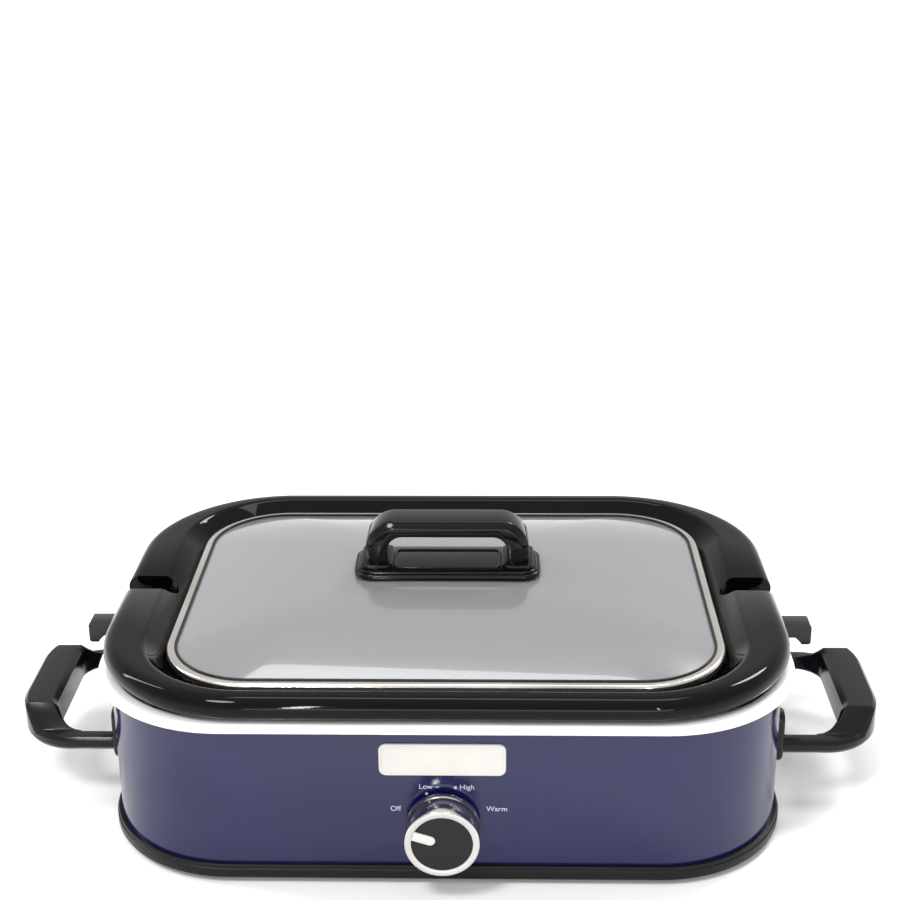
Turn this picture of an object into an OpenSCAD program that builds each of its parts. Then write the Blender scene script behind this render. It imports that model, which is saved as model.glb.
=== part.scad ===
// Slow cooker with a lift-out casserole crock and a glass lid.
// Millimetres, +Z up. The origin is on the resting surface under the middle of the cooker,
// the control knob is on the -Y side, and the side handles are on the X axis.

/* [Base] */
// Length of the well's rim, left to right
base_length = 400; // [390:1:410]
// Depth of the well's rim, front to back
base_depth = 288; // [280:1:296]
// Corner radius of the well's rim
base_corner = 80; // [78:1:82]
// Gap between the resting surface and the bottom ring
foot_height = 3; // [2.5:0.5:4]
// Height of the black ring at the bottom of the shell
ring_height = 8.5; // [8:0.5:9.5]
// Height of the well's rim above the resting surface
rim_top = 103; // [102:0.5:104]
// How far the rolled rim reaches down over the shell
rim_roll = 5.5; // [5:0.5:6]
// Height of the well's floor above the resting surface
floor_height = 27; // [26:0.5:27]
// Sheet thickness of the heating well
well_sheet = 1.2; // [1:0.1:1.3]
// Sheet thickness of the painted shell
shell_sheet = 0.8; // [0.6:0.1:1]

/* [Crock] */
// Length of the crock's flange, left to right
crock_length = 396; // [392:1:398]
// Depth of the crock's flange, front to back
crock_depth = 288; // [284:1:288]
// Corner radius of the crock's flange
crock_corner = 90; // [86:1:92]
// Thickness of the crock's rolled lip
lip_height = 15; // [14:0.5:16]
// Length of the cooking space at its mouth
mouth_length = 304; // [298:1:306]
// Depth of the cooking space at its mouth, front to back
mouth_depth = 222; // [216:1:224]
// Corner radius of the cooking space at its mouth
mouth_corner = 44; // [42:1:46]
// Height of the crock's underside above the resting surface
crock_bottom = 32; // [31:0.5:34]
// Width of the notch in each end of the flange
notch_width = 18; // [16:1:20]

/* [Lid] */
// Length of the lid over its steel rim
lid_length = 320; // [318:1:326]
// Height of the steel rim band
band_height = 5.6; // [5.6:0.1:6.5]
// Thickness of the lid glass
glass_thickness = 4; // [3.5:0.1:4]
// Rise of the glass from the rim to the middle
dome_rise = 16; // [14:0.5:18]
// Width of the lid handle's base plate
grip_base_width = 112; // [108:1:116]
// Width of the lid handle's arch
grip_width = 98; // [94:1:100]
// Height of the lid handle over the glass
grip_height = 34; // [32:0.5:37]

/* [Knob] */
// Diameter of the knob
knob_diameter = 41; // [38:0.5:42]
// How far the knob stands out from the shell
knob_reach = 21; // [20:0.5:22]
// Height of the knob's axis above the resting surface
knob_height = 38.6; // [37:0.2:40]
// Direction in which the pointer stands at Off, degrees from +X as seen from the front
off_angle = 162; // [155:1:170]

/* [Side handles and hooks] */
// Distance from the middle of the cooker to a handle's outer face
handle_reach = 260; // [255:1:262]
// Width of the handle over its arms, front to back
handle_width = 110.8; // [106:0.2:114]
// Width of the hand grip, left to right
grip_bar = 22; // [20:0.5:23]
// Distance from the middle of the cooker to a strap hook's tip
hook_reach = 221.5; // [220:0.5:224]

/* [Hidden] */
$fn = 96;

// Smallest gap that keeps two touching pieces from sharing any volume
slip = 0.1;
// Overlap that lets a cutting solid pass right through a face
over = 1;

// Centres of the base's four rounded corners
base_cx = base_length / 2 - base_corner;
base_cy = base_depth / 2 - base_corner;

// Radii of the base's walls, measured from those centres
shell_inset = 7;
ring_inset = 4;
shell_r = base_corner - shell_inset;
shell_in = shell_r - shell_sheet;
ring_r = base_corner - ring_inset;
front_y = base_cy + shell_r;
side_x = base_cx + shell_r;
ring_top = foot_height + ring_height;
ledge = 2.5;
ledge_top = foot_height + ledge;
shell_tuck = 2.5;
shell_top = rim_top - shell_tuck;

// The well's wall leans outward from a round fillet at its floor
well_lean = 11;
fillet_r = 12;
fillet_inset = 35;
fillet_cr = base_corner - fillet_inset;
fillet_cz = floor_height + fillet_r;
bend_r = 4;
wall_top_z = rim_top - bend_r;
wall_foot = [fillet_cr + fillet_r * cos(well_lean), fillet_cz - fillet_r * sin(well_lean)];
function wall_in(z) = wall_foot[0] + (z - wall_foot[1]) * tan(well_lean);
function wall_out(z) = wall_in(z) + well_sheet / cos(well_lean);
crown_in = wall_in(wall_top_z) + bend_r;
crown_out = base_corner - bend_r;

// Under-floor parts
plate_sheet = 0.8;
plate_top = ledge_top + plate_sheet;
floor_under = floor_height - well_sheet;
post_x = 100;
post_y = 45;
post_neck_r = 3.2;
foot_x = 150;
foot_y = 95;
reflector_z = 19;
reflector_r = 44;
reflector_edge = 5;
reflector_sheet = 0.8;

// Band heater round the well
band_low = 50;
band_high = 80;
band_thick = 2;
band_gap = 12;
lug_sheet = 1.5;
lug_low = 55;
lug_high = 71;
lug_past_bolt = 3;
clamp_r = 68;
clamp_y = base_cy + clamp_r;
clamp_z = 63;
clamp_bolt_r = 1.5;

// Crock: flange centres, and centres of the cooking space
flange_cx = crock_length / 2 - crock_corner;
flange_cy = crock_depth / 2 - crock_corner;
mouth_cx = mouth_length / 2 - mouth_corner;
mouth_cy = mouth_depth / 2 - mouth_corner;
flange_low = rim_top;
flange_top = flange_low + lip_height;
lip_r = lip_height / 2;
shoulder_drop = 18;
shoulder_width = 21;
mouth_z = flange_top - shoulder_drop;
shoulder_slope = shoulder_drop / shoulder_width;
crock_wall = 9;
crock_floor = 10;
crock_lean = 0.3;
outer_round = 14;
inner_round = 12;
notch_land = 1.5;
notch_end = mouth_length / 2 + shoulder_width + notch_land;

// Lid: same corner centres as the cooking space, so its depth follows its length
lid_cx = mouth_cx;
lid_cy = mouth_cy;
lid_r = lid_length / 2 - lid_cx;
seal_gap = 0.3;
band_clear = 1.3;
function shoulder_z(r) = mouth_z + shoulder_slope * (r - mouth_corner);
band_low_z = shoulder_z(lid_r) + band_clear;
band_top_z = band_low_z + band_height;
band_sheet = 0.6;
band_lip = 5;
glass_r = lid_r - band_sheet - 2 * slip;
glass_top_edge = band_top_z - band_sheet;
dome_r = lid_r - band_lip;
glass_top = glass_top_edge + dome_rise;
glass_under = glass_top - glass_thickness;
dome_curve = (dome_r * dome_r + dome_rise * dome_rise) / (2 * dome_rise);

// Lid handle
grip_base_depth = 42;
grip_base_thick = 5;
grip_depth = 25;
grip_leg = 13;
grip_bar_thick = 9.4;
grip_foot = glass_top + grip_base_thick;
grip_top = glass_top + grip_height;
collar_height = 2.6;
washer_thick = 1.5;
lid_screw_x = grip_width / 2 - grip_leg / 2;

// Screws and their bores
screw_r = 2;
snug = 0.05;
bore_r = screw_r + snug;
screw_hole_r = screw_r + 2 * slip;
screw_head_r = 3.6;
screw_head = 2.2;

// Knob and switch, measured along the knob's axis from the shell's front face
knob_r = knob_diameter / 2;
knob_gap = 2.5;
knob_len = knob_reach - knob_gap;
knob_wall = 3.8;
core_r = knob_r - knob_wall - snug;
face_step = 0.6;
pointer_width = 5.4;
pointer_inner = 4;
shaft_r = 3;
shaft_play = 0.06;
shaft_end = knob_reach - 5;
bush_r = 4.5;
bush_reach = 4.5;
switch_width = 26;
switch_depth = 10.5;
switch_low = 21.6;
switch_high = 46.6;
switch_set_back = 0.5;
tab_low = 14;
tab_inset = 7;
tab_y = front_y - tab_inset;
tab_pitch = 8;

// Side handles and hooks
arm_low = 34;
arm_high = 42;
arm_width = 10;
grip_high = 55;
handle_corner = 36;
pad_width = 14;
pad_low = 28;
pad_high = 62;
pad_thick = 6.5;
handle_bore = 14;
handle_screw = 13;
arm_y = handle_width / 2 - arm_width / 2;
arm_z = (arm_low + arm_high) / 2;
hook_width = 14;
hook_below_rim = 10;
hook_top = rim_top - hook_below_rim;
hook_bar = 8;
hook_tip = 6;
hook_pad = 6;
hook_drop = 12.5;
hook_screw_z = 70;
hook_bore = 5;
hook_screw = 4.5;

// Cord gland at the back
gland_x = 110;
gland_z = 26;
gland_bore = 3.5;
gland_thread = 7.9;
gland_flange = 10;
gland_out = front_y + knob_reach;
gland_tail = 6;

// Terminal block and wires under the floor
block_x = 70;
block_y = 108;
block_size = [30, 14, 10];
wire_r = 1.1;
wire_z = 12;
wire_inset = 3.6;
wire_back = front_y - wire_inset;
fuse_x = -55;
fuse_inset = 4;
fuse_y = front_y - fuse_inset;
fuse_len = 14;
fuse_r = 1.8;
fuse_lead = 8;

// ---- Shared shapes ----

// Points on an arc, as [radius, height]
function arc(cr, cz, r, from, to, steps = 8) =
    [for (i = [0 : steps]) let (a = from + (to - from) * i / steps) [cr + r * cos(a), cz + r * sin(a)]];

// Carries a half-profile (radius, height) round a rounded rectangle with corner centres at +-cx, +-cy
module sweep(cx, cy) {
    for (q = [0 : 3])
        translate([(q == 0 || q == 3) ? cx : -cx, q < 2 ? cy : -cy, 0])
            rotate([0, 0, 90 * q])
                rotate_extrude(angle = 90)
                    children();
    for (s = [0, 1]) {
        mirror([s, 0, 0])
            translate([cx, cy, 0])
                rotate([90, 0, 0])
                    linear_extrude(2 * cy)
                        children();
        mirror([0, s, 0])
            translate([-cx, cy, 0])
                rotate([90, 0, 90])
                    linear_extrude(2 * cx)
                        children();
    }
}

// Fills the rectangle that a sweep leaves open between its corner centres
module sweep_core(cx, cy, low, high) {
    translate([-cx, -cy, low])
        cube([2 * cx, 2 * cy, high - low]);
}

// Half-profile of a flat slab
module band(r_in, r_out, low, high) {
    translate([r_in, low])
        square([r_out - r_in, high - low]);
}

// Rounded rectangle outline, centred, with true arcs
module rounded(w, d, r) {
    square([w - 2 * r, d], center = true);
    square([w, d - 2 * r], center = true);
    for (x = [-1, 1], y = [-1, 1])
        translate([x * (w / 2 - r), y * (d / 2 - r)])
            circle(r = r);
}

// Turns a solid built along +Z so that it stands on the shell's front face and points at -Y
module on_front(height) {
    translate([0, -front_y, height])
        rotate([90, 0, 0])
            children();
}

// Turns a solid built along +Z so that it points at +Y from the back face
module on_back(x, height) {
    translate([x, front_y, height])
        rotate([-90, 0, 0])
            children();
}

// Cylinder along +X
module rod_x(x, y, z, r, length) {
    translate([x, y, z])
        rotate([0, 90, 0])
            cylinder(r = r, h = length);
}

// The same thing in all four quarters
module four(x, y) {
    for (sx = [-1, 1], sy = [-1, 1])
        translate([sx * x, sy * y, 0])
            children();
}

// The +X half of a pair, mirrored for the left side
module on_side(side) {
    mirror([side < 0 ? 1 : 0, 0, 0])
        children();
}

// ---- Base ----

module outer_shell() {
    color("midnightblue")
        difference() {
            sweep(base_cx, base_cy)
                band(shell_in, shell_r, ledge_top, shell_top);
            on_front(knob_height)
                translate([0, 0, -over - shell_sheet])
                    cylinder(r = bush_r + slip, h = shell_sheet + 2 * over);
            on_back(gland_x, gland_z)
                translate([0, 0, -over - shell_sheet])
                    cylinder(r = gland_thread + slip, h = shell_sheet + 2 * over);
            for (side = [-1, 1])
                on_side(side) {
                    for (y = [-arm_y, arm_y])
                        rod_x(side_x - 2 * over, y, arm_z, screw_hole_r, 3 * over);
                    rod_x(side_x - 2 * over, 0, hook_screw_z, screw_hole_r, 3 * over);
                }
        }
}

module bottom_ring() {
    ledge_width = 10;
    inner = ring_r - ledge_width;
    round_r = 1.5;
    color("black")
        sweep(base_cx, base_cy)
            polygon(concat(
                [[inner, foot_height]],
                arc(ring_r - round_r, foot_height + round_r, round_r, -90, 0),
                arc(ring_r - round_r, ring_top - round_r, round_r, 0, 90),
                [[shell_r + slip, ring_top], [shell_r + slip, ledge_top], [inner, ledge_top]]
            ));
}

module bottom_plate() {
    plate_r = shell_in - 4 * slip;
    slot = [4, 50];
    slot_pitch = 20;
    stem_hole_r = 2.5;
    color("dimgray")
        difference() {
            union() {
                sweep(base_cx, base_cy)
                    band(0, plate_r, ledge_top, plate_top);
                sweep_core(base_cx, base_cy, ledge_top, plate_top);
            }
            for (i = [-3 : 3])
                translate([i * slot_pitch, 0, ledge_top - over])
                    linear_extrude(plate_sheet + 2 * over)
                        rounded(slot[0], slot[1], slot[0] / 2 - slip);
            four(post_x, post_y)
                translate([0, 0, ledge_top - over])
                    cylinder(r = screw_hole_r, h = plate_sheet + 2 * over);
            four(foot_x, foot_y)
                translate([0, 0, ledge_top - over])
                    cylinder(r = stem_hole_r, h = plate_sheet + 2 * over);
        }
}

// Rubber feet, each with a stem pushed through the plate and a barbed head above it
module feet() {
    foot_r = 9;
    edge_r = 1;
    stem_r = 2.4;
    barb_r = 3.2;
    barb_tip_r = 2.2;
    barb_low = plate_top + slip;
    barb_top = plate_top + 2.4;
    color("darkslategray")
        four(foot_x, foot_y)
            rotate_extrude()
                polygon(concat(
                    [[0, 0]],
                    arc(foot_r - edge_r, edge_r, edge_r, -90, 0),
                    [
                        [foot_r, ledge_top], [stem_r, ledge_top], [stem_r, barb_low],
                        [barb_r, barb_low], [barb_tip_r, barb_top], [0, barb_top]
                    ]
                ));
}

module base_screws() {
    length = 10.5;
    color("silver")
        four(post_x, post_y) {
            translate([0, 0, ledge_top - screw_head])
                cylinder(r = screw_head_r, h = screw_head);
            translate([0, 0, ledge_top - over])
                cylinder(r = screw_r, h = length + over);
        }
}

module well_posts() {
    lower_r = 4.5;
    bore_depth = 12;
    color("gainsboro")
        four(post_x, post_y)
            difference() {
                union() {
                    translate([0, 0, plate_top])
                        cylinder(r = lower_r, h = reflector_z - plate_top);
                    translate([0, 0, reflector_z - over])
                        cylinder(r = post_neck_r, h = floor_under - reflector_z + over);
                }
                translate([0, 0, plate_top - over])
                    cylinder(r = bore_r, h = bore_depth + over);
            }
}

module heat_reflector() {
    color("lightsteelblue")
        difference() {
            union() {
                sweep(base_cx, base_cy) {
                    band(0, reflector_r, reflector_z, reflector_z + reflector_sheet);
                    band(reflector_r - reflector_sheet, reflector_r, reflector_z, reflector_z + reflector_edge);
                }
                sweep_core(base_cx, base_cy, reflector_z, reflector_z + reflector_sheet);
            }
            four(post_x, post_y)
                translate([0, 0, reflector_z - over])
                    cylinder(r = post_neck_r + slip, h = reflector_sheet + 2 * over);
        }
}

// Pressed sheet: floor, fillet, leaning wall, crown and rolled outer edge
module heating_well() {
    t = well_sheet;
    roll_low = rim_top - rim_roll;
    color("whitesmoke") {
        sweep(base_cx, base_cy)
            polygon(concat(
                [[0, floor_height]],
                arc(fillet_cr, fillet_cz, fillet_r, -90, -well_lean),
                arc(crown_in, wall_top_z, bend_r, 180, 90),
                arc(crown_out, wall_top_z, bend_r, 90, 0),
                [[base_corner, roll_low], [base_corner - t, roll_low]],
                arc(crown_out, wall_top_z, bend_r - t, 0, 90),
                arc(crown_in, wall_top_z, bend_r - t, 90, 180),
                arc(fillet_cr, fillet_cz, fillet_r + t, -well_lean, -90),
                [[0, floor_under]]
            ));
        sweep_core(base_cx, base_cy, floor_under, floor_height);
    }
}

// Two small spring clips on the well's floor, each a low bridge with a tab at both ends
module well_clips() {
    clip_x = 116;
    length = 18;
    width = 7;
    sheet = 0.8;
    rise = 3;
    color("lightgray")
        for (side = [-1, 1])
            translate([side * clip_x, width / 2, floor_height])
                rotate([90, 0, 0])
                    linear_extrude(width)
                        difference() {
                            polygon([
                                [-length / 2, 0], [length / 2, 0], [length / 2, sheet],
                                [length / 3, sheet], [length / 5, rise], [-length / 5, rise],
                                [-length / 3, sheet], [-length / 2, sheet]
                            ]);
                            polygon([
                                [-length / 4, -over], [length / 4, -over],
                                [length / 6, rise - sheet], [-length / 6, rise - sheet]
                            ]);
                        }
}

// Flat element clamped round the leaning wall, open at the back between its two lugs
module heater_band() {
    low_r = wall_out(band_low) + slip;
    high_r = wall_out(band_high) + slip;
    lug_y = base_cy + wall_out(lug_high) + band_thick / 2;
    color("tan")
        difference() {
            union() {
                difference() {
                    sweep(base_cx, base_cy)
                        polygon([
                            [low_r, band_low], [low_r + band_thick, band_low],
                            [high_r + band_thick, band_high], [high_r, band_high]
                        ]);
                    translate([-band_gap / 2, 0, band_low - over])
                        cube([band_gap, front_y, band_high - band_low + 2 * over]);
                }
                for (side = [0, 1])
                    mirror([side, 0, 0])
                        translate([band_gap / 2, lug_y, lug_low])
                            cube([lug_sheet, clamp_y + lug_past_bolt - lug_y, lug_high - lug_low]);
            }
            rod_x(-band_gap, clamp_y, clamp_z, clamp_bolt_r + 2 * slip, 2 * band_gap);
        }
}

// Bolt across the band's two lugs, with its nut
module heater_clamp() {
    head_r = 2.4;
    head_len = 2.4;
    bolt_tail = 5;
    lug_out = band_gap / 2 + lug_sheet;
    color("silver") {
        rod_x(-lug_out - head_len, clamp_y, clamp_z, head_r, head_len);
        rod_x(-lug_out - over, clamp_y, clamp_z, clamp_bolt_r, 2 * lug_out + bolt_tail + over);
        difference() {
            rod_x(lug_out, clamp_y, clamp_z, head_r, head_len);
            rod_x(lug_out - over, clamp_y, clamp_z, clamp_bolt_r + snug, head_len + 2 * over);
        }
    }
}

module thermal_fuse() {
    lead_r = 0.6;
    color("white")
        rod_x(fuse_x - fuse_len / 2, fuse_y, clamp_z, fuse_r, fuse_len);
    color("silver")
        rod_x(fuse_x - fuse_len / 2 - fuse_lead, fuse_y, clamp_z, lead_r, fuse_len + 2 * fuse_lead);
}

module fuse_bracket() {
    size = [8, 4.8, 6];
    color("gray")
        difference() {
            translate([fuse_x - size[0] / 2, fuse_y - size[1] / 2, clamp_z - size[2] / 2])
                cube(size);
            rod_x(fuse_x - size[0], fuse_y, clamp_z, fuse_r + snug, 2 * size[0]);
        }
}

// ---- Side handles and strap hooks ----

// Outline of the handle loop seen from above, from the shell out to the grip
module handle_outline() {
    inner_x = handle_reach - grip_bar;
    inner_corner = 18;
    difference() {
        intersection() {
            rounded(2 * handle_reach, handle_width, handle_corner);
            translate([side_x, -handle_width])
                square([handle_reach, 2 * handle_width]);
        }
        rounded(2 * inner_x, handle_width - 2 * arm_width, inner_corner);
    }
}

// One handle on the +X side: two screw pads, two arms and a raised grip
module side_handle() {
    difference() {
        union() {
            for (y = [-arm_y, arm_y])
                translate([side_x, y, (pad_low + pad_high) / 2])
                    rotate([90, 0, 90])
                        linear_extrude(pad_thick)
                            rounded(pad_width, pad_high - pad_low, pad_width / 2 - slip);
            translate([0, 0, arm_low])
                linear_extrude(arm_high - arm_low)
                    handle_outline();
            intersection() {
                translate([0, 0, arm_low])
                    linear_extrude(grip_high - arm_low)
                        handle_outline();
                translate([0, handle_width / 2, 0])
                    rotate([90, 0, 0])
                        linear_extrude(handle_width)
                            grip_section();
                translate([side_x, 0, 0])
                    rotate([90, 0, 90])
                        linear_extrude(handle_reach - side_x)
                            grip_slopes();
            }
        }
        for (y = [-arm_y, arm_y])
            rod_x(side_x - over, y, arm_z, bore_r, handle_bore + over);
    }
}

// The grip seen from the front: flat top with bevelled edges, and a ramp up from the arm
module grip_section() {
    outer = handle_reach;
    inner = handle_reach - grip_bar;
    ramp = 26;
    outer_edge = 4;
    inner_bevel = 2.5;
    outer_bevel = 2.5;
    polygon([
        [inner - ramp, arm_low], [outer - outer_edge, arm_low], [outer, arm_low + outer_edge],
        [outer, grip_high - outer_bevel], [outer - outer_bevel, grip_high],
        [inner + inner_bevel, grip_high], [inner, grip_high - inner_bevel], [inner - ramp, arm_high]
    ]);
}

// The grip seen from the side: its top slopes down to the arm at both ends
module grip_slopes() {
    foot = handle_width / 2 - arm_width;
    flat = foot - 8.4;
    polygon([
        [-foot, arm_low], [foot, arm_low], [foot, arm_high],
        [flat, grip_high], [-flat, grip_high], [-foot, arm_high]
    ]);
}

module left_handle() {
    color("black")
        on_side(-1)
            side_handle();
}

module right_handle() {
    color("black")
        on_side(1)
            side_handle();
}

// One hook on the +X side: a bar with a tip turned down, for an elastic lid strap
module strap_hook() {
    low = hook_top - hook_bar;
    tip_x = hook_reach - hook_tip;
    pad_x = side_x + hook_pad;
    pad_foot = pad_high + 2;
    web = [4, 5];
    notch = 3.5;
    difference() {
        translate([0, hook_width / 2, 0])
            rotate([90, 0, 0])
                linear_extrude(hook_width)
                    polygon([
                        [side_x, pad_foot], [pad_x, pad_foot], [pad_x, low - web[1]], [pad_x + web[0], low],
                        [tip_x - notch, low], [tip_x, low - notch], [tip_x, hook_top - hook_drop],
                        [hook_reach, hook_top - hook_drop], [hook_reach, hook_top], [side_x, hook_top]
                    ]);
        rod_x(side_x - over, 0, hook_screw_z, bore_r, hook_bore + over);
    }
}

module left_strap_hook() {
    color("black")
        on_side(-1)
            strap_hook();
}

module right_strap_hook() {
    color("black")
        on_side(1)
            strap_hook();
}

// Screws that come from inside the shell
module side_screw(y, z, length) {
    rod_x(side_x - shell_sheet - screw_head, y, z, screw_head_r, screw_head);
    rod_x(side_x - shell_sheet - over, y, z, screw_r, shell_sheet + over + length);
}

module handle_screws() {
    color("silver")
        for (side = [-1, 1], y = [-arm_y, arm_y])
            on_side(side)
                side_screw(y, arm_z, handle_screw);
}

module hook_screws() {
    color("silver")
        for (side = [-1, 1])
            on_side(side)
                side_screw(0, hook_screw_z, hook_screw);
}

// ---- Front panel ----

module name_plate() {
    plate = [69, 19.5];
    thick = 1.2;
    corner = 4;
    centre_z = 78.8;
    color("antiquewhite")
        on_front(centre_z)
            linear_extrude(thick)
                rounded(plate[0], plate[1], corner);
}

// Switch body behind the shell, with its bush through the shell and three tabs below
module rotary_switch() {
    tab = [4.8, 0.8];
    bore_depth = 10;
    bush_root = shell_sheet + switch_set_back + over;
    color("dimgray")
        difference() {
            union() {
                translate([-switch_width / 2, -front_y + shell_sheet + switch_set_back, switch_low])
                    cube([switch_width, switch_depth, switch_high - switch_low]);
                on_front(knob_height)
                    translate([0, 0, -bush_root])
                        cylinder(r = bush_r, h = bush_root + bush_reach);
                for (x = [-tab_pitch, 0, tab_pitch])
                    translate([x - tab[0] / 2, -tab_y - tab[1] / 2, tab_low])
                        cube([tab[0], tab[1], switch_low - tab_low + over]);
            }
            on_front(knob_height)
                translate([0, 0, -bore_depth])
                    cylinder(r = shaft_r + shaft_play, h = bore_depth + bush_reach + over);
        }
}

module switch_nut() {
    nut_r = 8;
    thick = 2.2;
    color("silver")
        on_front(knob_height)
            difference() {
                cylinder(r = nut_r, h = thick, $fn = 6);
                translate([0, 0, -over])
                    cylinder(r = bush_r + snug, h = thick + 2 * over);
            }
}

module switch_shaft() {
    tail = 9;
    color("silver")
        on_front(knob_height)
            translate([0, 0, -tail])
                cylinder(r = shaft_r, h = tail + shaft_end);
}

// Black middle of the knob, hollow at the back over the switch's nut
module knob_core() {
    hollow_r = 12;
    hollow_depth = 3.5;
    color("black")
        on_front(knob_height)
            difference() {
                translate([0, 0, knob_gap])
                    cylinder(r = core_r, h = knob_len - face_step);
                translate([0, 0, knob_gap - over])
                    cylinder(r = hollow_r, h = hollow_depth + over);
                cylinder(r = shaft_r + snug, h = shaft_end + snug);
            }
}

module knob_ring() {
    bevel = 0.8;
    color("gainsboro")
        on_front(knob_height)
            rotate_extrude()
                polygon([
                    [knob_r - knob_wall, knob_gap], [knob_r, knob_gap], [knob_r, knob_reach - bevel],
                    [knob_r - bevel, knob_reach], [knob_r - knob_wall, knob_reach]
                ]);
}

module knob_pointer() {
    color("gainsboro")
        on_front(knob_height)
            translate([0, 0, knob_reach - face_step])
                linear_extrude(face_step)
                    intersection() {
                        circle(r = core_r);
                        rotate([0, 0, off_angle])
                            union() {
                                translate([pointer_inner + pointer_width / 2, -pointer_width / 2])
                                    square([core_r, pointer_width]);
                                translate([pointer_inner + pointer_width / 2, 0])
                                    circle(r = pointer_width / 2);
                            }
                    }
}

// ---- Wiring and cord entry ----

module terminal_block() {
    well_r = 2.2;
    well_pitch = 9;
    well_low = 4;
    color("ivory")
        difference() {
            translate([block_x, block_y, plate_top])
                translate([-block_size[0] / 2, -block_size[1] / 2, 0])
                    cube(block_size);
            for (i = [-1 : 1])
                translate([block_x + i * well_pitch, block_y, plate_top + well_low])
                    cylinder(r = well_r, h = block_size[2]);
        }
}

// Ring of points round the start of a run that leaves p in direction d
function end_ring(p, d, r, sides) =
    let (u = abs(d[2]) < 0.9 ? cross([0, 0, 1], d) : [1, 0, 0], e = u / norm(u), f = cross(d, e))
    [for (k = [0 : sides - 1]) p + r * (cos(360 * k / sides) * e + sin(360 * k / sides) * f)];

function run(points, i) = (points[i] - points[i - 1]) / norm(points[i] - points[i - 1]);

// Slides point q along the run that ends at points[i], up to the mitre plane there
function to_mitre(q, points, i) =
    let (d = run(points, i), n = i == len(points) - 1 ? d : d + run(points, i + 1))
    q + d * ((points[i] - q) * n) / (d * n);

function tube_rings(points, r, sides) = [
    for (
        i = 0, ring = end_ring(points[0], run(points, 1), r, sides);
        i < len(points);
        i = i + 1, ring = i < len(points) ? [for (q = ring) to_mitre(q, points, i)] : ring
    )
        each ring
];

// One insulated wire through a list of points, mitred at the bends
module wire(points) {
    sides = 8;
    last = (len(points) - 1) * sides;
    polyhedron(
        points = tube_rings(points, wire_r, sides),
        faces = concat(
            [[for (k = [sides - 1 : -1 : 0]) k], [for (k = [0 : sides - 1]) last + k]],
            [
                for (i = [0 : len(points) - 2], k = [0 : sides - 1])
                    let (low = i * sides + k, next = i * sides + (k + 1) % sides)
                    [low, next, next + sides, low + sides]
            ]
        )
    );
}

module internal_wires() {
    block_front = block_y - block_size[1] / 2;
    block_back = block_y + block_size[1] / 2;
    entry_x = block_x - 8;
    high_z = wire_z + 4;
    rise_z = 40;
    back_y = 124;
    bend_y = 60;
    riser_x = 20;
    lug_z = lug_high - 2;
    fuse_end = fuse_x - fuse_len / 2 - fuse_lead;
    fuse_start = fuse_x + fuse_len / 2 + fuse_lead;
    drop_x = fuse_end - 6;
    lug_out = band_gap / 2 + lug_sheet;
    color("firebrick") {
        wire([
            [entry_x, block_front, wire_z], [entry_x, post_y - 5, wire_z], [tab_pitch, -bend_y, wire_z],
            [tab_pitch, -tab_y, wire_z], [tab_pitch, -tab_y, tab_low]
        ]);
        wire([
            [block_x, block_back, wire_z], [block_x, back_y, high_z], [drop_x, back_y, high_z],
            [drop_x, fuse_y, rise_z], [drop_x, fuse_y, clamp_z], [fuse_end, fuse_y, clamp_z]
        ]);
        wire([
            [fuse_start, fuse_y, clamp_z], [fuse_start + 10, wire_back, lug_z], [-lug_out, wire_back, lug_z]
        ]);
        wire([
            [-tab_pitch, -tab_y, tab_low], [-tab_pitch, -tab_y, wire_z], [-tab_pitch, -bend_y, wire_z],
            [riser_x, bend_y, wire_z], [riser_x, wire_back, wire_z], [riser_x, wire_back, lug_z],
            [lug_out, wire_back, lug_z]
        ]);
    }
}

// Gland for the supply cord: threaded tail inside, flange and tapered sleeve outside
module cord_gland() {
    length = gland_out - front_y;
    flange_thick = 3;
    sleeve_r = [8.6, 6.4];
    color("black")
        on_back(gland_x, gland_z)
            difference() {
                union() {
                    translate([0, 0, -gland_tail])
                        cylinder(r = gland_thread, h = gland_tail + over);
                    cylinder(r = gland_flange, h = flange_thick);
                    cylinder(r1 = sleeve_r[0], r2 = sleeve_r[1], h = length);
                }
                translate([0, 0, -gland_tail - over])
                    cylinder(r = gland_bore, h = length + gland_tail + 2 * over);
            }
}

module gland_nut() {
    nut_r = 11;
    thick = 4;
    color("dimgray")
        on_back(gland_x, gland_z)
            translate([0, 0, -shell_sheet - thick])
                difference() {
                    cylinder(r = nut_r, h = thick, $fn = 6);
                    translate([0, 0, -over])
                        cylinder(r = gland_thread + snug, h = thick + 2 * over);
                }
}

// ---- Crock ----

module lip_profile() {
    band(0, crock_corner - lip_r, flange_low, flange_top);
    translate([crock_corner - lip_r, flange_low + lip_r])
        circle(r = lip_r);
}

// Outside of the pot under the flange
module pot_profile() {
    top_r = mouth_corner + crock_wall;
    top_z = flange_low + over;
    foot_r = top_r - crock_lean * (top_z - crock_bottom - outer_round);
    polygon(concat(
        [[0, crock_bottom]],
        arc(foot_r - outer_round, crock_bottom + outer_round, outer_round, -90, 0),
        [[top_r, top_z], [0, top_z]]
    ));
}

// Cooking space, and the sloping shoulder on which the lid rests
module cavity_profile() {
    bottom = crock_bottom + crock_floor;
    foot_r = mouth_corner - crock_lean * (mouth_z - bottom - inner_round);
    above = flange_top + over;
    polygon(concat(
        [[0, bottom]],
        arc(foot_r - inner_round, bottom + inner_round, inner_round, -90, 0),
        [[mouth_corner, mouth_z], [mouth_corner + shoulder_width, flange_top],
            [mouth_corner + shoulder_width, above], [0, above]]
    ));
}

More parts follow.
